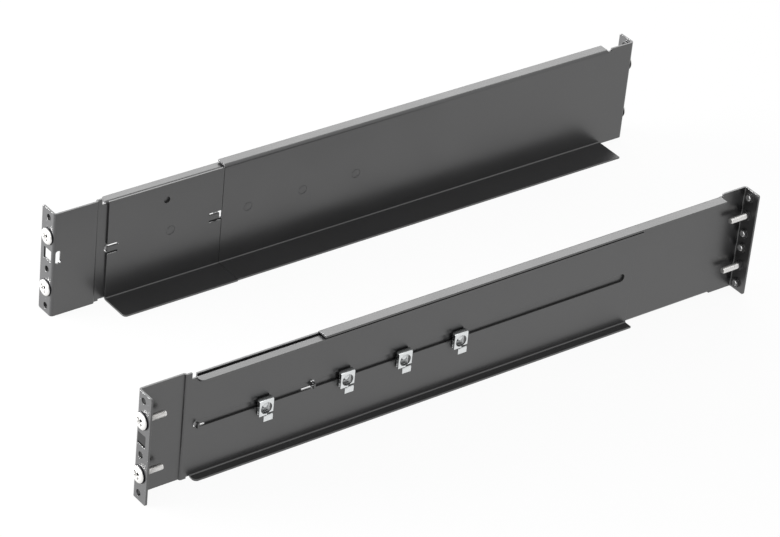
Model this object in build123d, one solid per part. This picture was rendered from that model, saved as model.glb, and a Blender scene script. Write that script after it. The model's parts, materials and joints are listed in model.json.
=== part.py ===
"""Two-unit rack rail kit: a mirrored pair of telescopic sheet-steel shelf rails, each with a slotted
front bracket, a short front shelf plate, a long rear bracket that slides along the slot, and the
clamps and screws that hold them."""

from build123d import *
import os

os.makedirs("parts", exist_ok=True)

# Frame: +X runs along the rails to the rear, +Z is up, the right rail stands on the -Y side.
# Each rail is drawn in its own place first: X from the front flange's face, Y outwards from the
# wing's inner face, Z up from the floor. The right rail is the left one mirrored.

# Sheet metal
SHEET = 1.5
BEND = 1.0
LAP = 0.2

# Overall sizes
RAIL_LENGTH = 544.0
FLANGE_HEIGHT = 88.4
FLANGE_WIDTH = 16.5
SHELF_WIDTH = 26.8
RAIL_SPACING = 212.0
RAIL_STAGGER = 66.0

# Rack hole heights over the middle of the flange, from the standard spacing
HOLE_HEIGHTS = [38.1, 22.225, 6.35, -6.35, -22.225, -38.1]
HOLE_LINE = 7.5
HOLE_RADIUS = 2.6
COLLAR_RADIUS = 3.9
COLLAR_LENGTH = 1.8
SQUARE_HOLE = 9.5
FLANGE_CORNER = 1.5

# Front bracket
WING_LENGTH = 37.0
JOGGLE_LENGTH = 0.6
JOGGLE_BEND = 0.15
FRONT_LIP_START = 44.9
FRONT_LENGTH = 436.8
FRONT_TOP_STEP = 3.6
FRONT_LIP_EDGE = 9.8
FRONT_LIP_CORNER = 3.5
RELIEF_DEPTH = 1.5
RELIEF_LENGTH = 3.0
SLOT_START = 45.2
SLOT_END_MARGIN = 7.5
SLOT_HEIGHT = 6.9
WING_SLOT_WIDTH = 4.4
WING_SLOT_HEIGHT = 11.0
WING_SLOT_LINE = 4.4

# Front shelf plate
PLATE_START = 47.0
BUTT_GAP = 0.4
PLATE_TOP_STEP = 2.9
PLATE_HOLE_LINE = 97.8
PLATE_HOLE_DROP = 13.4
PLATE_HOLE_RADIUS = 2.7
PLATE_CORNER = 3.0
TAB_LENGTH = 9.0
TAB_HALF = 2.2
TAB_SLIT = 2.0
TAB_REACH = 3.0

# Rear bracket
REAR_START = 148.5
LIP_GAP = 1.0
REAR_LIP_MARGIN = 26.5
REAR_SHELF_MARGIN = 23.2
REAR_SHELF_STEP = 0.8
REAR_LIP_EDGE = 9.8
REAR_RELIEF = 1.0

# Studs and clamps
FRONT_STUD = 102.5
REAR_STUDS = [172.0, 222.5, 272.5]
STUD_RADIUS = 2.5
STUD_HEAD_RADIUS = 3.8
STUD_HEAD = 0.9
SHOULDER_RADIUS = 3.1
CAGE_SHEET = 0.9
CAGE_WIDTH = 12.0
CAGE_DEPTH = 5.8
CAGE_TOP = 5.2
CAGE_SHIFT = 1.0
CAGE_FOOT = 7.2
CAGE_FOOT_DROP = 3.8
CAGE_FOOT_WIDTH = 8.5
CAGE_WINDOW_RADIUS = 3.6
CAGE_NOTCH_DROP = 2.0
NUT_WIDTH = 7.6
NUT_HEIGHT = 3.2
THREAD_CLEARANCE = 0.05

# Flange screws and washers
SCREW_RADIUS = 2.45
SCREW_LENGTH = 19.0
HEAD_RADIUS = 6.4
HEAD_HEIGHT = 2.0
RECESS_WIDTH = 1.5
RECESS_LENGTH = 7.4
RECESS_DEPTH = 1.3
WASHER_RADIUS = 6.8
WASHER_THICKNESS = 0.8

# Worked out
HALF = SHEET / 2
MIDDLE = FLANGE_HEIGHT / 2
FRONT_TOP = FLANGE_HEIGHT - FRONT_TOP_STEP
PLATE_TOP = FLANGE_HEIGHT - PLATE_TOP_STEP
PLATE_HOLE_HEIGHT = PLATE_TOP - PLATE_HOLE_DROP
SLOT_END = FRONT_LENGTH - SLOT_END_MARGIN
REAR_TOP = FRONT_TOP + LIP_GAP + SHEET
REAR_LIP_END = RAIL_LENGTH - REAR_LIP_MARGIN
REAR_SHELF_END = RAIL_LENGTH - REAR_SHELF_MARGIN
REAR_SHELF_EDGE = -SHELF_WIDTH + REAR_SHELF_STEP
PLATE_END = REAR_START - BUTT_GAP
SECOND_TAB = PLATE_END - TAB_SLIT - TAB_LENGTH
FRONT_FACE = SHEET + LAP
FRONT_OUTER = FRONT_FACE + SHEET
WEB_START = WING_LENGTH + JOGGLE_LENGTH
RELIEF_START = FRONT_LIP_START - RELIEF_LENGTH
CAGE_BASE = FRONT_OUTER + LAP
STUD_END = CAGE_BASE + CAGE_DEPTH
SLIDE_TRAVEL = SLOT_END - SHOULDER_RADIUS - LAP - REAR_STUDS[-1]


def strip(points, thickness, radius):
    """A bent strip of sheet seen edge on: the middle line's points, rounded at each bend."""
    inner = radius if isinstance(radius, list) else [radius] * (len(points) - 2)
    line = FilletPolyline(*points, radius=[bend + thickness / 2 for bend in inner])
    return trace(line, thickness)


def upright(points, height, radius=BEND):
    """A strip drawn in plan and raised to a height."""
    return extrude(strip(points, SHEET, radius), height)


def section(points, start, end, thickness=SHEET, radius=BEND):
    """A strip drawn in the rail's cross-section (outwards, up) and drawn out along X."""
    face = Plane.YZ.offset(start) * strip(points, thickness, radius)
    return extrude(face, end - start, dir=(1, 0, 0))


def box(x0, x1, y0, y1, z0, z1):
    """A block between two corners."""
    return Pos((x0 + x1) / 2, (y0 + y1) / 2, (z0 + z1) / 2) * Box(x1 - x0, y1 - y0, z1 - z0)


def rod(radius, x, y0, y1, z):
    """A round bar across the rail, from one depth to another."""
    return Pos(x, (y0 + y1) / 2, z) * Rot(90, 0, 0) * Cylinder(radius, y1 - y0)


def flange_holes(face, inward, square_hole):
    """The cuts for the six rack holes of one flange, one of them square on the front flange."""
    holes = []
    for row, height in enumerate(HOLE_HEIGHTS):
        place = Pos(face, HOLE_LINE, MIDDLE + height) * Rot(0, 90 * inward, 0)
        if row == 2 and square_hole:
            holes.append(place * Box(SQUARE_HOLE, SQUARE_HOLE, 4 * SHEET))
            continue
        holes.append(place * Cylinder(HOLE_RADIUS, 4 * (SHEET + COLLAR_LENGTH)))
    return holes


def flange_collars(face, inward, square_hole):
    """The drawn collars behind the round holes, which give the tapped threads their length."""
    collars = []
    for row, height in enumerate(HOLE_HEIGHTS):
        if row == 2 and square_hole:
            continue
        place = Pos(face, HOLE_LINE, MIDDLE + height) * Rot(0, 90 * inward, 0)
        ring = Pos(0, 0, SHEET + COLLAR_LENGTH / 2) * Cylinder(COLLAR_RADIUS, COLLAR_LENGTH)
        collars.append(place * ring)
    return collars


def rounded_flange(sheet):
    """The sheet with the flange's two free corners rounded."""
    corners = sheet.edges().filter_by(Axis.X)
    edge = FLANGE_WIDTH - LAP
    corners = corners.filter_by_position(Axis.Y, edge, FLANGE_WIDTH + LAP)
    return fillet(corners, FLANGE_CORNER)


def slot(start, end, height, z, y0, y1):
    """A level slot with round ends."""
    outline = Pos((start + end) / 2, z) * SlotOverall(end - start, height)
    return extrude(Plane.XZ.offset(-y1) * outline, y1 - y0)


def front_bracket(with_wing_slot):
    """Flange, wing and joggle raised from one plan strip, then the C-section web with its slot."""
    plan = [
        (HALF, FLANGE_WIDTH),
        (HALF, HALF),
        (WING_LENGTH, HALF),
        (WEB_START, FRONT_FACE + HALF),
        (FRONT_LIP_START, FRONT_FACE + HALF),
    ]
    nose = rounded_flange(upright(plan, FLANGE_HEIGHT, [BEND, JOGGLE_BEND, JOGGLE_BEND]))
    relief_top = FRONT_TOP - RELIEF_DEPTH
    nose -= box(RELIEF_START, FRONT_LIP_START, 0, FLANGE_WIDTH, relief_top, FLANGE_HEIGHT)
    nose -= box(RELIEF_START, FRONT_LIP_START, 0, FLANGE_WIDTH, 0, RELIEF_DEPTH)
    channel = [
        (FRONT_LIP_EDGE, FRONT_TOP - HALF),
        (FRONT_FACE + HALF, FRONT_TOP - HALF),
        (FRONT_FACE + HALF, HALF),
        (FRONT_LIP_EDGE, HALF),
    ]
    channel = section(channel, FRONT_LIP_START, FRONT_LENGTH)
    corners = channel.edges().filter_by(Axis.Z)
    corners = corners.filter_by_position(Axis.Y, FRONT_LIP_EDGE - LAP, FRONT_LIP_EDGE + LAP)
    corners = corners.filter_by_position(Axis.X, FRONT_LIP_START - LAP, FRONT_LIP_START + LAP)
    bracket = nose + fillet(corners, FRONT_LIP_CORNER)
    bracket -= slot(SLOT_START, SLOT_END, SLOT_HEIGHT, MIDDLE, 0, 2 * FRONT_OUTER)
    if with_wing_slot:
        wing_slot = Rectangle(WING_SLOT_WIDTH, WING_SLOT_HEIGHT)
        wing_slot = fillet(wing_slot.vertices(), WING_SLOT_WIDTH * 0.4)
        wing_slot = Pos(WING_SLOT_LINE, MIDDLE + HOLE_HEIGHTS[2]) * wing_slot
        bracket -= extrude(Plane.XZ.offset(-2 * SHEET) * wing_slot, 4 * SHEET)
    for collar in flange_collars(0.0, 1, True):
        bracket += collar
    for hole in flange_holes(0.0, 1, True):
        bracket -= hole
    return bracket


def tab_slits(start, at_start):
    """The cuts around one tab: two long slits and, behind the second tab, its set-back end."""
    low, high = TAB_HALF, TAB_HALF + TAB_SLIT
    cuts = [
        box(start, start + TAB_LENGTH, -SHEET, 2 * SHEET, MIDDLE + low, MIDDLE + high),
        box(start, start + TAB_LENGTH, -SHEET, 2 * SHEET, MIDDLE - high, MIDDLE - low),
    ]
    if not at_start:
        end = start + TAB_LENGTH
        cuts.append(box(end, end + 2 * TAB_SLIT, -SHEET, 2 * SHEET, MIDDLE - high, MIDDLE + high))
    return cuts


def tab_hook(start, root_first):
    """A tab that lies flat in the web, with its tip turned out through the front bracket's slot."""
    end = start + TAB_LENGTH
    root, tip = (start, end - HALF) if root_first else (end, start + HALF)
    path = Polyline((root, HALF), (tip, HALF), (tip, FRONT_OUTER + TAB_REACH))
    return Pos(0, 0, MIDDLE - TAB_HALF) * extrude(trace(path, SHEET), 2 * TAB_HALF)


def front_shelf_plate():
    """A flat web with an inward shelf, a small hole, and two tabs hooked into the slot."""
    angle = [(HALF, PLATE_TOP), (HALF, HALF), (-SHELF_WIDTH, HALF)]
    plate = section(angle, PLATE_START, PLATE_END)
    corner = plate.edges().filter_by(Axis.Z).sort_by(Axis.Y)[:2].sort_by(Axis.X)[0]
    plate = fillet(corner, PLATE_CORNER)
    plate -= rod(PLATE_HOLE_RADIUS, PLATE_HOLE_LINE, -SHEET, 2 * SHEET, PLATE_HOLE_HEIGHT)
    plate -= stud_seat(FRONT_STUD)
    for start, at_start in ((PLATE_START, True), (SECOND_TAB, False)):
        low, high = MIDDLE - TAB_HALF, MIDDLE + TAB_HALF
        plate -= box(start, start + TAB_LENGTH, -SHEET, 2 * SHEET, low, high)
        for cut in tab_slits(start, at_start):
            plate -= cut
        plate += tab_hook(start, not at_start)
    return plate


def rear_bracket():
    """A web with a top lip and a shelf, running on to a full-height wing and the rear flange."""
    web = [
        (REAR_LIP_EDGE, REAR_TOP - HALF),
        (HALF, REAR_TOP - HALF),
        (HALF, HALF),
        (REAR_SHELF_EDGE, HALF),
    ]
    bracket = section(web, REAR_START, REAR_LIP_END)
    end = [(HALF, REAR_TOP - REAR_RELIEF), (HALF, HALF), (REAR_SHELF_EDGE, HALF)]
    bracket += section(end, REAR_LIP_END, REAR_SHELF_END)
    plan = [(REAR_SHELF_END, HALF), (RAIL_LENGTH - HALF, HALF), (RAIL_LENGTH - HALF, FLANGE_WIDTH)]
    bracket += rounded_flange(upright(plan, FLANGE_HEIGHT))
    for collar in flange_collars(RAIL_LENGTH, -1, False):
        bracket += collar
    for hole in flange_holes(RAIL_LENGTH, -1, False):
        bracket -= hole
    for x in REAR_STUDS:
        bracket -= stud_seat(x)
    return bracket


def stud_seat(x):
    """A stud's hole through the inner sheet, with a recess for its flush head."""
    return rod(STUD_RADIUS, x, -SHEET, 2 * SHEET, MIDDLE) + rod(
        STUD_HEAD_RADIUS, x, -SHEET, STUD_HEAD, MIDDLE
    )


def stud(x):
    """A flush-head stud with a shoulder that runs in the slot and a threaded end."""
    head = rod(STUD_HEAD_RADIUS, x, 0.0, STUD_HEAD, MIDDLE)
    shoulder = rod(SHOULDER_RADIUS, x, SHEET, FRONT_OUTER - LAP, MIDDLE)
    return head + shoulder + rod(STUD_RADIUS, x, STUD_HEAD, STUD_END, MIDDLE)


def clamp_cage(x):
    """One bent strip: front face, top, back and a foot, with the stud's hole and an open window."""
    half = CAGE_SHEET / 2
    back = CAGE_BASE + half
    front = CAGE_BASE + CAGE_DEPTH - half
    top = MIDDLE + CAGE_TOP - half
    foot = MIDDLE - CAGE_FOOT + half
    path = [
        (front, MIDDLE - CAGE_FOOT + 2 * CAGE_SHEET),
        (front, top),
        (back, top),
        (back, foot),
        (front, foot),
        (front, foot - CAGE_FOOT_DROP),
    ]
    start = x + CAGE_SHIFT - CAGE_WIDTH / 2
    end = start + CAGE_WIDTH
    cage = section(path, start, end, CAGE_SHEET, CAGE_SHEET / 2)
    narrowed = end - CAGE_FOOT_WIDTH
    cage -= box(start, narrowed, back + half, 2 * STUD_END, 0, foot + half)
    cage -= rod(STUD_RADIUS + THREAD_CLEARANCE, x, CAGE_BASE - SHEET, back + SHEET, MIDDLE)
    cage -= rod(CAGE_WINDOW_RADIUS, x, front - SHEET, front + SHEET, MIDDLE)
    cage -= box(x, end + SHEET, front - SHEET, front + SHEET, foot + half, MIDDLE - CAGE_NOTCH_DROP)
    return cage


def clamp_nut(x):
    """A square nut against the cage's back, with a bevelled outer face."""
    base = CAGE_BASE + CAGE_SHEET
    nut = Pos(x, base + NUT_HEIGHT / 2, MIDDLE) * Box(NUT_WIDTH, NUT_HEIGHT, NUT_WIDTH)
    nut = chamfer(nut.faces().sort_by(Axis.Y)[-1].edges(), 0.5)
    return nut - rod(STUD_RADIUS + THREAD_CLEARANCE, x, base - SHEET, base + 2 * NUT_HEIGHT, MIDDLE)


def screw(x, z, direction):
    """A pan-head screw through a flange; direction is +1 where the shank points to the rear."""
    seat = -WASHER_THICKNESS
    head = Pos(0, 0, seat - HEAD_HEIGHT / 2) * Cylinder(HEAD_RADIUS, HEAD_HEIGHT)
    rim = head.faces().sort_by(Axis.Z)[0].edges()
    head = fillet(rim, HEAD_HEIGHT * 0.62)
    recess = Pos(0, 0, seat - HEAD_HEIGHT + RECESS_DEPTH / 2)
    head -= recess * Box(RECESS_LENGTH, RECESS_WIDTH, RECESS_DEPTH)
    head -= recess * Box(RECESS_WIDTH, RECESS_LENGTH, RECESS_DEPTH)
    shank = Pos(0, 0, seat + SCREW_LENGTH / 2) * Cylinder(SCREW_RADIUS, SCREW_LENGTH)
    tip = shank.faces().sort_by(Axis.Z)[-1].edges()
    body = head + chamfer(tip, 0.6)
    return Pos(x, HOLE_LINE, z) * Rot(0, 90 * direction, 0) * body


def washer(x, z, direction):
    """A plain washer between the screw head and the flange."""
    ring = Cylinder(WASHER_RADIUS, WASHER_THICKNESS)
    ring -= Cylinder(SCREW_RADIUS + THREAD_CLEARANCE, WASHER_THICKNESS)
    return Pos(x - direction * WASHER_THICKNESS / 2, HOLE_LINE, z) * Rot(0, 90, 0) * ring


def pair(maker, x, direction):
    """The same fastener in the flange's second and fifth holes."""
    return Compound([maker(x, MIDDLE + HOLE_HEIGHTS[row], direction) for row in (1, 4)])


def rail_pieces(with_wing_slot):
    """Every piece of one rail, by name, in the rail's own place."""
    return {
        "front_bracket": front_bracket(with_wing_slot),
        "front_shelf_plate": front_shelf_plate(),
        "front_shelf_stud": stud(FRONT_STUD),
        "front_clamp_cage": clamp_cage(FRONT_STUD),
        "front_clamp_nut": clamp_nut(FRONT_STUD),
        "rear_bracket": rear_bracket(),
        "rear_bracket_studs": Compound([stud(x) for x in REAR_STUDS]),
        "rear_clamp_cages": Compound([clamp_cage(x) for x in REAR_STUDS]),
        "rear_clamp_nuts": Compound([clamp_nut(x) for x in REAR_STUDS]),
        "front_flange_screws": pair(screw, 0.0, 1),
        "front_flange_washers": pair(washer, 0.0, 1),
        "rear_flange_screws": pair(screw, RAIL_LENGTH, -1),
        "rear_flange_washers": pair(washer, RAIL_LENGTH, -1),
    }


# Left rail on the +Y side, set back by the stagger; right rail mirrored on the -Y side
middle_x = (RAIL_LENGTH + RAIL_STAGGER) / 2
left_place = Pos(RAIL_STAGGER - middle_x, RAIL_SPACING / 2, 0)
right_place = Pos(-middle_x, -RAIL_SPACING / 2, 0)
for name, piece in rail_pieces(True).items():
    export_step(left_place * piece, f"parts/left_{name}.step")
for name, piece in rail_pieces(False).items():
    export_step(right_place * mirror(piece, Plane.XZ), f"parts/right_{name}.step")
print("slide travel", round(SLIDE_TRAVEL, 2))
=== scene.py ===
# %% [markdown]
# # A pair of two-unit rack rails
# The real thing is a pair of folded sheet-steel rails that carry a heavy appliance in a rack. They
# are powder coated black, and their small hardware is bright plated steel. The folded sheets come
# from the CAD frame as they are, because their bends and holes are already exact. This file gives
# them their finish, builds the small turned and pressed hardware in finer detail, and lights and
# frames the pair as in the studio photograph.

# %% Load the CAD frame
import json
import math

import bmesh
import bpy
from mathutils import Matrix, Vector

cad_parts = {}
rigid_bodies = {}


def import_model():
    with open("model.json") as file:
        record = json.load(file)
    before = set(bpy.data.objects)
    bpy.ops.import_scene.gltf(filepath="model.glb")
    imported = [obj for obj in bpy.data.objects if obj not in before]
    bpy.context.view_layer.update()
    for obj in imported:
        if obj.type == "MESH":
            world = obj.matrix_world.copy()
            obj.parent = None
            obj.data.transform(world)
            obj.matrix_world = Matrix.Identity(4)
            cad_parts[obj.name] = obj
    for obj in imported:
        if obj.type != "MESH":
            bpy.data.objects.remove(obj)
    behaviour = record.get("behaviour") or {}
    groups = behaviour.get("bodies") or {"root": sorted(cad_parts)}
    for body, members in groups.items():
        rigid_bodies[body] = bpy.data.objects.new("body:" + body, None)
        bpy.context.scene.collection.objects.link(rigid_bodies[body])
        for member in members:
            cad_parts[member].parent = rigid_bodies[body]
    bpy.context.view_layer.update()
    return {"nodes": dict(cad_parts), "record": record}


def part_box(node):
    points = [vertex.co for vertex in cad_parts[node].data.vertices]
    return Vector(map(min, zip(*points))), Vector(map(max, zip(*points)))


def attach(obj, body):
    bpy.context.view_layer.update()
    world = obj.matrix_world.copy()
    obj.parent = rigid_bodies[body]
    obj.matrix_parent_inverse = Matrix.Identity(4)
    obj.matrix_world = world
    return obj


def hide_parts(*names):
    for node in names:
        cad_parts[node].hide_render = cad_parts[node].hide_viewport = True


for leftover in list(bpy.data.objects):
    bpy.data.objects.remove(leftover)
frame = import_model()
MM = 0.001
RAILS = ("left", "right")

# %% [markdown]
# ## Who moves with what
# Each rear bracket slides along its front bracket, and takes its studs, clamps and flange screws
# with it. A new piece has to ride on the same body as the CAD node that it stands for, so a small
# table from node to body is read once from the record instead of being typed again.

# %% Table from CAD node to body
body_of_node = {}
for body, nodes in frame["record"]["behaviour"]["bodies"].items():
    for node in nodes:
        body_of_node[node] = body
print(len(body_of_node), "nodes ride on", sorted(set(body_of_node.values())))

# %% [markdown]
# ## Colours and nodes
# Colours are written as sRGB hex, as a colour picker shows them, and one function turns them into
# the linear values that the renderer works with. One more function adds a shader node, with its
# settings and links, so that each material below reads as a list of what it is made of.

# %% Helpers for materials
def linear(hex_colour):
    """An sRGB hex colour as linear RGBA."""
    values = [int(hex_colour[i : i + 2], 16) / 255 for i in (1, 3, 5)]
    toned = [v / 12.92 if v <= 0.04045 else ((v + 0.055) / 1.055) ** 2.4 for v in values]
    return (*toned, 1.0)


def add_node(tree, kind, inputs=None, **settings):
    """A new node: settings are its properties, inputs are values or sockets to link."""
    node = tree.nodes.new(kind)
    for name, value in settings.items():
        setattr(node, name, value)
    for key, value in (inputs or {}).items():
        if isinstance(value, bpy.types.NodeSocket):
            tree.links.new(value, node.inputs[key])
        else:
            node.inputs[key].default_value = value
    return node


def new_material(name):
    """An empty node material, and its tree."""
    material = bpy.data.materials.new(name)
    material.use_nodes = True
    material.node_tree.nodes.clear()
    return material, material.node_tree


def per_metre(millimetres):
    """The noise scale whose features are about this wide."""
    return 1 / (millimetres * MM)


PURE_WHITE = linear("#ffffff")
# Noise values mostly lie between these two, so a range between them spans a whole scale
NOISE_LOW = 0.3
NOISE_HIGH = 0.7
print("black #1d1d1e is linear", [round(v, 4) for v in linear("#1d1d1e")])

# %% [markdown]
# ## Powder coat on folded steel
# The rails are painted with black polyester powder, baked until it flows. The film is a satin
# plastic about 0.07 mm thick over steel: a dark body colour under a soft, blurred reflection of the
# white studio, which is what makes the flat webs look grey. Up close it has orange peel, a ripple
# about 1.6 mm wide, and handling leaves broad patches with a little more or less gloss. The sheet's
# edges are rubbed a little paler in patches. A bump texture is right for the ripple, which is only
# microns high, and the Bevel node rounds the sheared edges as a thick film of paint does.

# %% Powder coat material
POWDER_BLACK = "#1d1d1e"
RUBBED_EDGE = "#454546"
PEEL_WIDTH = 1.6
PEEL_HEIGHT = 0.03
HANDLING_WIDTH = 45.0
RUB_PATCH_WIDTH = 7.0
EDGE_RADIUS = 0.35
# How far the rounded normal agrees with the flat one where an edge starts and at its middle
EDGE_STARTS = 0.985
EDGE_FULL = 0.80
COAT_ROUGHNESS = (0.29, 0.35)


def powder_coat():
    """Satin black polyester powder coat: soft gloss, orange peel, rubbed sheet edges."""
    material, tree = new_material("powder_coated_steel")
    place = add_node(tree, "ShaderNodeTexCoord").outputs["Object"]
    rounded = add_node(tree, "ShaderNodeBevel", {"Radius": EDGE_RADIUS * MM}, samples=6)
    flat = add_node(tree, "ShaderNodeNewGeometry")
    facing = add_node(
        tree,
        "ShaderNodeVectorMath",
        {0: rounded.outputs["Normal"], 1: flat.outputs["Normal"]},
        operation="DOT_PRODUCT",
    )
    edge = add_node(
        tree,
        "ShaderNodeMapRange",
        {"Value": facing.outputs["Value"], "From Min": EDGE_STARTS, "From Max": EDGE_FULL},
    )
    patches = add_node(
        tree, "ShaderNodeTexNoise", {"Vector": place, "Scale": per_metre(RUB_PATCH_WIDTH)}
    )
    worn = add_node(
        tree,
        "ShaderNodeMath",
        {0: edge.outputs["Result"], 1: patches.outputs["Fac"]},
        operation="MULTIPLY",
    )
    handling = add_node(
        tree,
        "ShaderNodeTexNoise",
        {"Vector": place, "Scale": per_metre(HANDLING_WIDTH), "Detail": 3.0},
    )
    colour = add_node(
        tree,
        "ShaderNodeMix",
        {0: worn.outputs["Value"], 6: linear(POWDER_BLACK), 7: linear(RUBBED_EDGE)},
        data_type="RGBA",
    )
    gloss = add_node(
        tree,
        "ShaderNodeMapRange",
        {
            "Value": handling.outputs["Fac"],
            "From Min": NOISE_LOW,
            "From Max": NOISE_HIGH,
            "To Min": COAT_ROUGHNESS[0],
            "To Max": COAT_ROUGHNESS[1],
        },
    )
    peel = add_node(
        tree,
        "ShaderNodeTexNoise",
        {"Vector": place, "Scale": per_metre(PEEL_WIDTH), "Detail": 1.0},
    )
    bump = add_node(
        tree,
        "ShaderNodeBump",
        {
            "Height": peel.outputs["Fac"],
            "Normal": rounded.outputs["Normal"],
            "Strength": 0.35,
            "Distance": PEEL_HEIGHT * MM,
        },
    )
    shader = add_node(
        tree,
        "ShaderNodeBsdfPrincipled",
        {
            "Base Color": colour.outputs[2],
            "Roughness": gloss.outputs["Result"],
            "Normal": bump.outputs["Normal"],
            "IOR": 1.6,
            "Specular IOR Level": 0.9,
        },
    )
    add_node(tree, "ShaderNodeOutputMaterial", {"Surface": shader.outputs["BSDF"]})
    return material


coat = powder_coat()
print("powder coat:", len(coat.node_tree.nodes), "nodes")

# %% [markdown]
# ## Plated hardware
# The clamps and studs are pressed and turned steel with bright zinc plate, and the nuts have the
# same plate, a little rougher and with a darker colour that is painted shade for their place inside
# the
# cage. The flange screws are nickel plated. All are metals, so the colour is in the reflection:
# nearly white, a touch warm for nickel and a touch cool for zinc. Barrel plating leaves a fine
# mottle, drawn here about 0.8 mm wide, coarser than the real grain so that it shows.
# Recesses, thread roots and inner corners are darkened by an ambient occlusion term, as painted
# shade. The washers behind the screw heads are blackened steel, oily and dull.

# %% Metal materials
PLATING_MOTTLE = 0.8
PLATING_HEIGHT = 0.01
BROKEN_EDGE = 0.15
# Dark grey that ambient occlusion mixes into recesses and inner corners: painted shade
PAINTED_SHADE_GREY = "#1e1e1f"
MOST_PAINTED_SHADE = 0.95
# How far the painted shade in crevices reaches in mm, and the openness where it starts
# and where it is full
SCREW_PAINTED_SHADE = (2.6, 0.72, 0.3)
CLAMP_PAINTED_SHADE = (5.0, 0.97, 0.55)


def plated_metal(name, light, dark, smooth, rough, painted_shade):
    """A plated metal with a fine mottle in tone and roughness, soft edges and painted shade in
    crevices.
    """
    material, tree = new_material(name)
    reach, starts, full = painted_shade
    place = add_node(tree, "ShaderNodeTexCoord").outputs["Object"]
    grain = add_node(
        tree,
        "ShaderNodeTexNoise",
        {"Vector": place, "Scale": per_metre(PLATING_MOTTLE), "Detail": 3.0},
    )
    tone = add_node(
        tree,
        "ShaderNodeMix",
        {0: grain.outputs["Fac"], 6: linear(light), 7: linear(dark)},
        data_type="RGBA",
    )
    # Ambient occlusion mixes dark grey into recesses, thread roots and inner corners: painted shade
    openness = add_node(
        tree, "ShaderNodeAmbientOcclusion", {"Distance": reach * MM}, samples=8
    )
    painted_shade_amount = add_node(
        tree,
        "ShaderNodeMapRange",
        {
            "Value": openness.outputs["AO"],
            "From Min": starts,
            "From Max": full,
            "To Max": MOST_PAINTED_SHADE,
        },
    )
    tone_with_painted_shade = add_node(
        tree,
        "ShaderNodeMix",
        {0: painted_shade_amount.outputs["Result"], 6: tone.outputs[2], 7: linear(PAINTED_SHADE_GREY)},
        data_type="RGBA",
    )
    gloss = add_node(
        tree,
        "ShaderNodeMapRange",
        {
            "Value": grain.outputs["Fac"],
            "From Min": NOISE_LOW,
            "From Max": NOISE_HIGH,
            "To Min": smooth,
            "To Max": rough,
        },
    )
    rounded = add_node(tree, "ShaderNodeBevel", {"Radius": BROKEN_EDGE * MM}, samples=6)
    bump = add_node(
        tree,
        "ShaderNodeBump",
        {
            "Height": grain.outputs["Fac"],
            "Normal": rounded.outputs["Normal"],
            "Strength": 0.1,
            "Distance": PLATING_HEIGHT * MM,
        },
    )
    shader = add_node(
        tree,
        "ShaderNodeBsdfPrincipled",
        {
            "Base Color": tone_with_painted_shade.outputs[2],
            "Roughness": gloss.outputs["Result"],
            "Normal": bump.outputs["Normal"],
            "Metallic": 1.0,
        },
    )
    add_node(tree, "ShaderNodeOutputMaterial", {"Surface": shader.outputs["BSDF"]})
    return material


zinc = plated_metal("bright_zinc_plate", "#eceeee", "#cfd2d3", 0.20, 0.32, CLAMP_PAINTED_SHADE)
# The nuts' zinc is rougher, a real duller plate, and darker, as painted shade inside the cage
dull_zinc_with_painted_shade = plated_metal("dull_zinc_plate_with_painted_shade", "#85878a", "#5c5e61", 0.28, 0.40, CLAMP_PAINTED_SHADE)
nickel = plated_metal("bright_nickel_plate", "#efeeec", "#d9d8d6", 0.28, 0.38, SCREW_PAINTED_SHADE)
blackened = plated_metal("black_oxide_steel", "#26262a", "#161618", 0.45, 0.6, SCREW_PAINTED_SHADE)
print("metals:", zinc.name, dull_zinc_with_painted_shade.name, nickel.name, blackened.name)

# %% [markdown]
# ## Finish the CAD nodes
# Every CAD node already names a material slot in the record, so each node's slots are filled with
# the real finish for that name.

# %% Assign finishes
FINISHES = {
    "powder_coat": coat,
    "zinc_plate": zinc,
    "screw_steel": nickel,
    "black_washer": blackened,
}
slot_of_node = {part["node"]: part["material_slot"] for part in frame["record"]["subparts"]}
for node, piece in frame["nodes"].items():
    for slot in piece.material_slots:
        slot.material = FINISHES[slot_of_node[node]]
print("finished", len(frame["nodes"]), "nodes")

# %% [markdown]
# ## Turned pieces
# Screw heads and studs are turned or cold headed, so each is a profile spun round an axis. A thread
# is a ridge that climbs as it turns. It could be a Screw modifier on a small triangle, but a closed
# grid whose radius follows the angle and the height at once needs no joining at its ends, and gives
# one clean skin from tip to head.

# %% Helpers for turned pieces
SHARP_ANGLE = math.radians(38)
# A spun profile starts and ends this close to its axis, and closer points are joined, in mm
POLE = 0.02
WELD = 0.002
# Above 1, this leaves a flat at the bottom of each thread groove
GROOVE_STEEPNESS = 1.25


def finished_object(name, builder, material, node):
    """A smooth-shaded object from a bmesh, riding with the CAD node that it stands for."""
    mesh = bpy.data.meshes.new(name)
    bmesh.ops.remove_doubles(builder, verts=builder.verts, dist=WELD * MM)
    bmesh.ops.recalc_face_normals(builder, faces=builder.faces)
    builder.to_mesh(mesh)
    builder.free()
    mesh.shade_smooth()
    mesh.set_sharp_from_angle(angle=SHARP_ANGLE)
    mesh.materials.append(material)
    piece = bpy.data.objects.new(name, mesh)
    bpy.context.scene.collection.objects.link(piece)
    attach(piece, body_of_node[node])
    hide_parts(node)
    return piece


def turned_rings(builder, profile, place, segments=40):
    """Rings of vertices for (radius, height) points in mm, round the place's Z axis."""
    rings = []
    for radius, height in profile:
        ring = []
        for step in range(segments):
            angle = 2 * math.pi * step / segments
            spot = Vector((radius * math.cos(angle), radius * math.sin(angle), height))
            ring.append(builder.verts.new(place @ (spot * MM)))
        rings.append(ring)
    return rings


def spin(builder, profile, place, segments=40):
    """A closed turned solid whose profile starts and ends on the axis."""
    join_rings(builder, turned_rings(builder, profile, place, segments))


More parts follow.
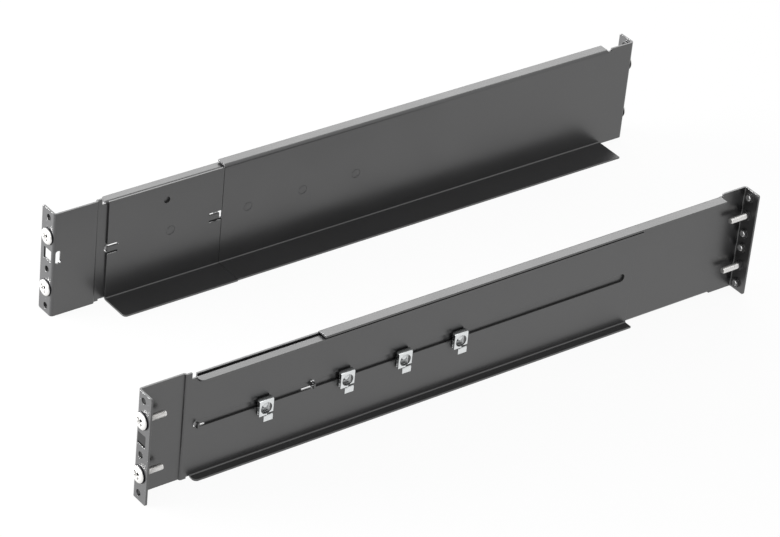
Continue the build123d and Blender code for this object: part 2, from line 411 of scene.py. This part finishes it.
def spin_ring(builder, profile, place, segments=48):
    """A turned ring whose profile is a closed loop off the axis."""
    rings = turned_rings(builder, profile, place, segments)
    for low, high in zip(rings, rings[1:] + rings[:1]):
        for step in range(segments):
            after = (step + 1) % segments
            builder.faces.new((low[step], low[after], high[after], high[step]))


def join_rings(builder, rings):
    """Faces between neighbouring rings, and a cap on each end."""
    count = len(rings[0])
    for low, high in zip(rings, rings[1:]):
        for step in range(count):
            after = (step + 1) % count
            builder.faces.new((low[step], low[after], high[after], high[step]))
    builder.faces.new(list(reversed(rings[0])))
    builder.faces.new(rings[-1])


def threaded_rod(builder, radius, pitch, depth, start, end, place, segments=20, samples=6):
    """A right-hand threaded rod between two heights in mm, chamfered at its far end."""
    rings = []
    rows = max(2, round((end - start) / pitch * samples))
    for row in range(rows + 1):
        height = start + (end - start) * row / rows
        taper = max(0.0, 1 - (end - height) / pitch) * depth
        ring = []
        for step in range(segments):
            turn = step / segments
            phase = (height / pitch - turn) % 1.0
            groove = depth * min(1.0, GROOVE_STEEPNESS * (1 - abs(2 * phase - 1)))
            reach = min(radius - groove, radius - taper)
            spot = Vector((math.cos(2 * math.pi * turn), math.sin(2 * math.pi * turn), 0))
            spot = spot * reach + Vector((0, 0, height))
            ring.append(builder.verts.new(place @ (spot * MM)))
        rings.append(ring)
    join_rings(builder, rings)


print("turned-piece helpers ready")

# %% [markdown]
# ## Cutting and breaking edges
# Recesses, windows and bores are cut with Booleans, as the punch and the drill do it, and the sharp
# edges that are left are broken with a narrow bevel. A drill is a spun bar and a punch is a block.
# The result is kept as plain mesh, so that the cutting tools can be taken away again.

# %% Helpers for cut pieces
BREAK_ANGLE = math.radians(40)


def block(builder, place, low, high):
    """A box between two corners in mm."""
    corners = []
    for z in (low[2], high[2]):
        for x, y in ((low[0], low[1]), (high[0], low[1]), (high[0], high[1]), (low[0], high[1])):
            corners.append(builder.verts.new(place @ (Vector((x, y, z)) * MM)))
    box_faces(builder, corners)


def box_faces(builder, corners):
    """The six faces over two rows of four corners."""
    for face in ((3, 2, 1, 0), (4, 5, 6, 7), (0, 1, 5, 4), (1, 2, 6, 5), (2, 3, 7, 6), (3, 0, 4, 7)):
        builder.faces.new([corners[i] for i in face])


def cutting_object(builder):
    """An object made only to cut with."""
    bmesh.ops.recalc_face_normals(builder, faces=builder.faces)
    mesh = bpy.data.meshes.new("cutter")
    builder.to_mesh(mesh)
    builder.free()
    cutter = bpy.data.objects.new("cutter", mesh)
    bpy.context.scene.collection.objects.link(cutter)
    return cutter


def drill(place, radius, start, end, segments):
    """A round bar between two heights in mm, as an object to cut with."""
    builder = bmesh.new()
    spin(builder, [(POLE, start), (radius, start), (radius, end), (POLE, end)], place, segments)
    return cutting_object(builder)


def punch(place, low, high):
    """A box between two corners in mm, as an object to cut with."""
    builder = bmesh.new()
    block(builder, place, low, high)
    return cutting_object(builder)


def carve(piece, cutters, broken_edge=0.0):
    """Cuts each cutter out of the piece, breaks its sharp edges, and keeps the plain result."""
    for cutter in cutters:
        cut = piece.modifiers.new("cut", "BOOLEAN")
        cut.object = cutter
        cut.operation = "DIFFERENCE"
        cut.use_self = True
    if broken_edge:
        bevel = piece.modifiers.new("broken_edge", "BEVEL")
        bevel.width = broken_edge * MM
        bevel.segments = 2
        bevel.limit_method = "ANGLE"
        bevel.angle_limit = BREAK_ANGLE
    bpy.context.view_layer.update()
    shaped = piece.evaluated_get(bpy.context.evaluated_depsgraph_get())
    mesh = bpy.data.meshes.new_from_object(shaped)
    mesh.shade_smooth()
    mesh.set_sharp_from_angle(angle=SHARP_ANGLE)
    piece.modifiers.clear()
    piece.data = mesh
    for cutter in cutters:
        bpy.data.objects.remove(cutter)


print("cutting helpers ready")

# %% [markdown]
# ## Flange screws
# Four rack screws come with each rail, two in each flange: M5 pan heads with a cross recess,
# threaded up to the head. The head is spun from a pan profile with a slightly crowned top. The
# recess is cut with a Boolean from a tapered cross, which is how the punch makes it, and its flanks
# show dark in the bright head, with painted shade deepening them. Under each head lies a blackened
# washer with rolled edges.

# %% Pan-head screws
HEAD_RADIUS = 6.4
HEAD_HEIGHT = 2.0
SHANK_RADIUS = 2.45
SHANK_LENGTH = 19.0
THREAD_PITCH = 0.8
THREAD_DEPTH = 0.4
# The head's end of the shank is sunk this far into the head
SHANK_ROOT = 0.2
RECESS_TURN = math.radians(45)
# Height, half length and half width of the recess above its mouth and at its floor
RECESS_ROWS = ((-3.0, 4.8, 1.45), (-0.2, 2.4, 0.8))
PAN_PROFILE = [
    (POLE, 0.0),
    (6.15, 0.0),
    (HEAD_RADIUS, -0.15),
    (HEAD_RADIUS, -0.55),
    (6.25, -0.95),
    (5.8, -1.35),
    (4.9, -1.68),
    (3.5, -1.88),
    (1.8, -1.97),
    (POLE, -HEAD_HEIGHT),
]
WASHER_PROFILE = [
    (2.6, 0.1),
    (2.7, 0.0),
    (6.5, 0.0),
    (6.7, 0.08),
    (6.8, 0.25),
    (6.8, 0.62),
    (6.7, 0.78),
    (2.7, 0.78),
    (2.6, 0.7),
]


def cross_cutter(place):
    """A tapered cross that sinks into a screw head, as an object for a Boolean."""
    builder = bmesh.new()
    for turn in (0, math.pi / 2):
        turned = place @ Matrix.Rotation(turn, 4, "Z")
        corners = []
        for height, length, width in RECESS_ROWS:
            for x, y in ((-length, -width), (length, -width), (length, width), (-length, width)):
                corners.append(builder.verts.new(turned @ (Vector((x, y, height)) * MM)))
        box_faces(builder, corners)
    return cutting_object(builder)


def flange_screw(name, seat, direction, node):
    """A pan-head screw: the head's seat point in metres, and +1 or -1 for where the tip points."""
    aim = Matrix.Translation(seat) @ Matrix.Rotation(direction * math.pi / 2, 4, "Y")
    builder = bmesh.new()
    spin(builder, PAN_PROFILE, aim, 48)
    piece = finished_object(name + "_head", builder, nickel, node)
    carve(piece, [cross_cutter(aim @ Matrix.Rotation(RECESS_TURN, 4, "Z"))])
    builder = bmesh.new()
    threaded_rod(builder, SHANK_RADIUS, THREAD_PITCH, THREAD_DEPTH, -SHANK_ROOT, SHANK_LENGTH, aim)
    finished_object(name + "_thread", builder, nickel, node)


def flange_washer(name, seat, direction, node):
    """A plain washer with rounded edges between the head's seat and the flange."""
    aim = Matrix.Translation(seat) @ Matrix.Rotation(direction * math.pi / 2, 4, "Y")
    builder = bmesh.new()
    spin_ring(builder, WASHER_PROFILE, aim)
    finished_object(name, builder, blackened, node)


for rail in RAILS:
    for end, direction in (("front", 1), ("rear", -1)):
        node = f"{rail}_{end}_flange_screws"
        low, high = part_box(node)
        middle_y = (low.y + high.y) / 2
        seat_x = low.x + HEAD_HEIGHT * MM if direction > 0 else high.x - HEAD_HEIGHT * MM
        for row, z in (("lower", low.z + HEAD_RADIUS * MM), ("upper", high.z - HEAD_RADIUS * MM)):
            seat = Vector((seat_x, middle_y, z))
            flange_screw(f"{rail}_{end}_screw_{row}", seat, direction, node)
            flange_washer(
                f"{rail}_{end}_washer_{row}", seat, direction, f"{rail}_{end}_flange_washers"
            )

# %% [markdown]
# ## Studs
# Each stud is pressed into the web from the inside before painting, so its flush head is black like
# the web and barely shows, and the plated shank stands out on the far side. The head is a low disc
# with a broken rim, and the shank is a shoulder that runs in the slot with an M5 thread beyond it.
# The thread is cut short of the CAD stud's end, so that it stops just behind the clamp's window.

# %% Press-in studs
STUD_RADIUS = 2.5
STUD_HEAD_RADIUS = 3.8
STUD_HEAD = 0.9
SHOULDER_RADIUS = 3.1
SHOULDER_END = 3.0
STUD_PITCH = 0.8
STUD_THREAD = 0.35
STUD_SHORTER = 1.6
# The thread starts this far inside the shoulder, so that the two overlap
THREAD_ROOT = 0.1
SHEET = 1.5
# The studs' distances from the front flange
FRONT_STUDS = [102.5]
REAR_STUDS = [172.0, 222.5, 272.5]
STUD_PLACES = {"front_shelf_stud": FRONT_STUDS, "rear_bracket_studs": REAR_STUDS}
HEAD_PROFILE = [
    (POLE, 0.0),
    (STUD_HEAD_RADIUS - 0.35, 0.0),
    (STUD_HEAD_RADIUS - 0.08, 0.08),
    (STUD_HEAD_RADIUS, 0.3),
    (STUD_HEAD_RADIUS, STUD_HEAD),
    (POLE, STUD_HEAD),
]
SHOULDER_PROFILE = [
    (POLE, STUD_HEAD),
    (STUD_RADIUS, STUD_HEAD),
    (STUD_RADIUS, SHEET),
    (SHOULDER_RADIUS, SHEET),
    (SHOULDER_RADIUS, SHOULDER_END - 0.2),
    (SHOULDER_RADIUS - 0.2, SHOULDER_END),
    (POLE, SHOULDER_END),
]


def studs(rail, kind, places):
    """Black flush heads and plated threaded shanks for one row of studs."""
    node = f"{rail}_{kind}"
    outward = 1 if rail == "left" else -1
    low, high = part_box(node)
    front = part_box(f"{rail}_front_bracket")[0].x
    depth = (high.y - low.y) / MM
    inner_y = low.y if outward > 0 else high.y
    middle_z = (low.z + high.z) / 2
    heads = bmesh.new()
    shanks = bmesh.new()
    for x in places:
        spot = Vector((front + x * MM, inner_y, middle_z))
        aim = Matrix.Translation(spot) @ Matrix.Rotation(-outward * math.pi / 2, 4, "X")
        spin(heads, HEAD_PROFILE, aim)
        spin(shanks, SHOULDER_PROFILE, aim)
        start, end = SHOULDER_END - THREAD_ROOT, depth - STUD_SHORTER
        threaded_rod(shanks, STUD_RADIUS, STUD_PITCH, STUD_THREAD, start, end, aim)
    finished_object(node + "_heads", heads, coat, node)
    finished_object(node + "_shanks", shanks, zinc, node)


for rail in RAILS:
    for kind, places in STUD_PLACES.items():
        studs(rail, kind, places)
stud_low, stud_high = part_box("left_rear_bracket_studs")
print("CAD studs are", round((stud_high.y - stud_low.y) / MM, 1), "mm long")

# %% [markdown]
# ## Clamps
# Each stud carries a clamp that grips the front bracket's web. It is one strip of 0.9 mm spring
# steel, folded into a small open box: a front with a window that the driver reaches through, a top,
# a back with the stud's hole, and a foot that runs out below the front and turns down. The strip is
# drawn as its middle line with an arc at each fold, then thickened to both sides, which keeps the
# sheet's thickness true through the folds. The square nut sits inside against the back. Depths are
# taken from the web and heights from the stud's axis.

# %% Clamp cages and nuts
CAGE_SHEET = 0.9
CAGE_FRONT = 4.85
CAGE_BACK = CAGE_SHEET / 2
CAGE_TOP = 4.0
CAGE_BOTTOM = -9.2
FRONT_END = -8.2
FOOT_END = -13.6
CAGE_LINE = [
    (CAGE_FRONT, FRONT_END),
    (CAGE_FRONT, CAGE_TOP),
    (CAGE_BACK, CAGE_TOP),
    (CAGE_BACK, CAGE_BOTTOM),
    (CAGE_FRONT, CAGE_BOTTOM),
    (CAGE_FRONT, FOOT_END),
]
CAGE_ENDS = (-5.6, 6.2)
CAGE_FOLD = 0.9
CAGE_EDGE = 0.12
FOOT_START = -1.5
FOOT_CUT_TOP = -8.72
BACK_START = -3.9
BACK_CUT_DEPTH = 2.2
WINDOW_RADIUS = 4.7
WINDOW_SHIFT = 0.3
WINDOW_DROP = 2.4
NOTCH_START = 1.0
NOTCH_TOP = -6.7
NOTCH_BOTTOM = -8.7
STUD_BORE = 2.55
NUT_WIDTH = 7.0
NUT_HEIGHT = 1.8
NUT_EDGE = 0.35
COUNTERSINK = 0.4
PAST_FACE = 0.05
# Cuts through the front or the back run from one of its sides to well past the other
FRONT_CUT = (4.1, 6.5)
BACK_CUT = (-1.0, 2.0)
# Cuts beside the foot and the back leave the strip here
PAST_SIDE = 9.0
PAST_FOOT = -15.0
CLAMP_PLACES = {"front": FRONT_STUDS, "rear": REAR_STUDS}


def folded_line(points, fold, steps=5):
    """The points of a folded line, with an arc of the fold's radius at each square corner."""
    line = [Vector(points[0])]
    for before, corner, after in zip(points, points[1:], points[2:]):
        before, corner, after = Vector(before), Vector(corner), Vector(after)
        arrive = (corner - before).normalized()
        leave = (after - corner).normalized()
        centre = corner - arrive * fold + leave * fold
        for step in range(steps + 1):
            angle = math.pi / 2 * step / steps
            line.append(centre - leave * fold * math.cos(angle) + arrive * fold * math.sin(angle))
    line.append(Vector(points[-1]))
    return line


def sheet_outline(line, thickness):
    """The closed outline of a thin strip round its middle line."""
    sides = []
    for index, point in enumerate(line):
        after = line[min(index + 1, len(line) - 1)]
        before = line[max(index - 1, 0)]
        along = (after - before).normalized()
        sides.append(Vector((-along.y, along.x)) * (thickness / 2))
    left = [point + side for point, side in zip(line, sides)]
    right = [point - side for point, side in zip(line, sides)]
    return left + right[::-1]


def clamp_cage(name, aim, node):
    """The folded strip, with its window, notch, stud hole and narrowed foot cut out."""
    builder = bmesh.new()
    outline = sheet_outline(folded_line(CAGE_LINE, CAGE_FOLD), CAGE_SHEET)
    rings = []
    for x in CAGE_ENDS:
        rings.append([builder.verts.new(aim @ (Vector((x, p.x, p.y)) * MM)) for p in outline])
    join_rings(builder, rings)
    piece = finished_object(name, builder, zinc, node)
    across = aim @ Matrix.Rotation(-math.pi / 2, 4, "X")
    lowered = across @ Matrix.Translation(Vector((WINDOW_SHIFT, WINDOW_DROP, 0)) * MM)
    behind, past = FRONT_CUT
    window = drill(lowered, WINDOW_RADIUS, behind, past, 36)
    notch = punch(aim, (NOTCH_START, behind, NOTCH_BOTTOM), (PAST_SIDE, past, NOTCH_TOP))
    outside, inside = BACK_CUT
    hole = drill(across, STUD_BORE, outside, inside, 28)
    beside_foot = punch(
        aim, (-PAST_SIDE, CAGE_SHEET + PAST_FACE, PAST_FOOT), (FOOT_START, PAST_SIDE, FOOT_CUT_TOP)
    )
    beside_back = punch(
        aim, (-PAST_SIDE, outside, PAST_FOOT), (BACK_START, BACK_CUT_DEPTH, PAST_SIDE)
    )
    carve(piece, [window, notch, hole, beside_foot, beside_back], CAGE_EDGE)


def clamp_nut(name, aim, node):
    """A square nut with broken edges and a countersunk bore that the stud fills."""
    builder = bmesh.new()
    half = NUT_WIDTH / 2
    face = CAGE_SHEET + NUT_HEIGHT
    block(builder, aim, (-half, CAGE_SHEET, -half), (half, face, half))
    # The nut's darker zinc colour is painted shade for its place inside the cage
    piece = finished_object(name, builder, dull_zinc_with_painted_shade, node)
    across = aim @ Matrix.Rotation(-math.pi / 2, 4, "X")
    bore = bmesh.new()
    profile = [
        (POLE, 0.0),
        (STUD_BORE, 0.0),
        (STUD_BORE, face - COUNTERSINK),
        (STUD_BORE + COUNTERSINK + PAST_FACE, face + PAST_FACE),
        (POLE, face + PAST_FACE),
    ]
    spin(bore, profile, across, 28)
    carve(piece, [cutting_object(bore)], NUT_EDGE)


for rail in RAILS:
    outward = 1 if rail == "left" else -1
    front_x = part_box(f"{rail}_front_bracket")[0].x
    stud_low, stud_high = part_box(f"{rail}_rear_bracket_studs")
    middle_z = (stud_low.z + stud_high.z) / 2
    for end, places in CLAMP_PLACES.items():
        plural = "s" if len(places) > 1 else ""
        cages = f"{rail}_{end}_clamp_cage{plural}"
        nuts = f"{rail}_{end}_clamp_nut{plural}"
        low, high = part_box(cages)
        base_y = low.y if outward > 0 else high.y
        for number, x in enumerate(places, 1):
            spot = Vector((front_x + x * MM, base_y, middle_z))
            aim = Matrix.Translation(spot) @ Matrix.Diagonal((1, outward, 1, 1))
            clamp_cage(f"{rail}_{end}_cage_{number}", aim, cages)
            clamp_nut(f"{rail}_{end}_nut_{number}", aim, nuts)

# %% [markdown]
# ## Floor, world and lamps
# The photograph is a product shot on seamless white paper under large soft lamps. Most of the
# floor's white is a glow that only camera and mirror rays see, mixed with a plain white diffuse that
# keeps the object's soft shadow. The world does the same, so the lamps stay at a plain level and no
# extra light falls on the paint. A broad lamp hangs above, one stands behind to light the top lips,
# and a long low one on the left lights the front flanges.

# %% White studio
FLOOR_SIZE = 12.0
PAPER_WHITE = "#e9e9e9"
FLOOR_GLOW = 0.93
WORLD_FILL = 0.55
# Each lamp's place, the point it faces, its width and height in metres, and its watts
SOFTBOXES = {
    "overhead_softbox": ((-0.4, -0.7, 2.3), (0, 0, 0), 2.4, 2.4, 20),
    "back_softbox": ((1.35, 1.65, 1.45), (0, 0, 0.04), 2.0, 1.3, 20),
    "left_softbox": ((-1.7, 1.1, 0.2), (0, 0, 0.04), 1.6, 0.34, 200),
}


def seen_directly(tree):
    """1 for camera, mirror and transmission rays, 0 for the light that falls on things."""
    path = add_node(tree, "ShaderNodeLightPath")
    mirror = add_node(
        tree,
        "ShaderNodeMath",
        {0: path.outputs["Is Camera Ray"], 1: path.outputs["Is Glossy Ray"]},
        operation="MAXIMUM",
    )
    return add_node(
        tree,
        "ShaderNodeMath",
        {0: mirror.outputs["Value"], 1: path.outputs["Is Transmission Ray"]},
        operation="MAXIMUM",
    ).outputs["Value"]


def studio_floor():
    """A seamless white floor that keeps a faint shadow."""
    material, tree = new_material("seamless_white_paper")
    share = add_node(
        tree, "ShaderNodeMath", {0: seen_directly(tree), 1: FLOOR_GLOW}, operation="MULTIPLY"
    )
    paper = add_node(tree, "ShaderNodeBsdfDiffuse", {"Color": linear(PAPER_WHITE)})
    glow = add_node(tree, "ShaderNodeEmission", {"Color": PURE_WHITE, "Strength": 1.0})
    mixed = add_node(
        tree,
        "ShaderNodeMixShader",
        {0: share.outputs["Value"], 1: paper.outputs["BSDF"], 2: glow.outputs["Emission"]},
    )
    add_node(tree, "ShaderNodeOutputMaterial", {"Surface": mixed.outputs["Shader"]})
    builder = bmesh.new()
    bmesh.ops.create_grid(builder, x_segments=4, y_segments=4, size=FLOOR_SIZE / 2)
    mesh = bpy.data.meshes.new("studio_floor")
    builder.to_mesh(mesh)
    builder.free()
    mesh.materials.append(material)
    floor = bpy.data.objects.new("studio_floor", mesh)
    bpy.context.scene.collection.objects.link(floor)


def studio_world():
    """White where it is seen or mirrored, and a plain soft fill on the object."""
    world = bpy.data.worlds.new("studio_world")
    bpy.context.scene.world = world
    world.use_nodes = True
    tree = world.node_tree
    tree.nodes.clear()
    fill = add_node(tree, "ShaderNodeBackground", {"Color": PURE_WHITE, "Strength": WORLD_FILL})
    white = add_node(tree, "ShaderNodeBackground", {"Color": PURE_WHITE, "Strength": 1.0})
    mixed = add_node(
        tree,
        "ShaderNodeMixShader",
        {0: seen_directly(tree), 1: fill.outputs["Background"], 2: white.outputs["Background"]},
    )
    add_node(tree, "ShaderNodeOutputWorld", {"Surface": mixed.outputs["Shader"]})


def softbox(name, place, target, width, height, power):
    """A large soft area lamp that faces a point."""
    lamp = bpy.data.lights.new(name, "AREA")
    lamp.shape = "RECTANGLE"
    lamp.size = width
    lamp.size_y = height
    lamp.energy = power
    holder = bpy.data.objects.new(name, lamp)
    holder.location = place
    aim = Vector(target) - Vector(place)
    holder.rotation_euler = aim.to_track_quat("-Z", "Y").to_euler()
    bpy.context.scene.collection.objects.link(holder)


studio_floor()
studio_world()
for name, (place, target, width, height, power) in SOFTBOXES.items():
    softbox(name, place, target, width, height, power)
print("lamps:", sorted(SOFTBOXES))

# %% [markdown]
# ## Camera
# The photograph looks along the rails from the front right and well above. A long lens keeps the
# rails' edges nearly parallel. The camera is placed from a compass angle, a tilt and a small roll,
# worked out from where the corners and holes of both rails fall in the photograph.

# %% Camera
SENSOR = 36.0
LENS = 166.15
YAW = 39.49
PITCH = 32.63
ROLL = 5.86
CAMERA_PLACE = Vector((-1.4423, -1.7376, 1.4731))


def place_camera():
    """A camera looking along yaw (from +Y towards +X) and down by pitch, rolled about its view."""
    yaw, pitch, roll = (math.radians(v) for v in (YAW, PITCH, ROLL))
    ahead = Vector(
        (math.sin(yaw) * math.cos(pitch), math.cos(yaw) * math.cos(pitch), -math.sin(pitch))
    )
    level = Vector((math.cos(yaw), -math.sin(yaw), 0))
    upright = level.cross(ahead)
    right = math.cos(roll) * level + math.sin(roll) * upright
    up = -math.sin(roll) * level + math.cos(roll) * upright
    camera = bpy.data.cameras.new("studio_camera")
    camera.lens = LENS
    camera.sensor_width = SENSOR
    camera.clip_end = 30
    holder = bpy.data.objects.new("studio_camera", camera)
    bpy.context.scene.collection.objects.link(holder)
    turn = Matrix((right, up, -ahead)).transposed().to_4x4()
    holder.matrix_world = Matrix.Translation(CAMERA_PLACE) @ turn
    bpy.context.scene.camera = holder


place_camera()
bpy.context.scene.view_settings.view_transform = "Standard"
print("camera at", [round(v, 3) for v in CAMERA_PLACE])
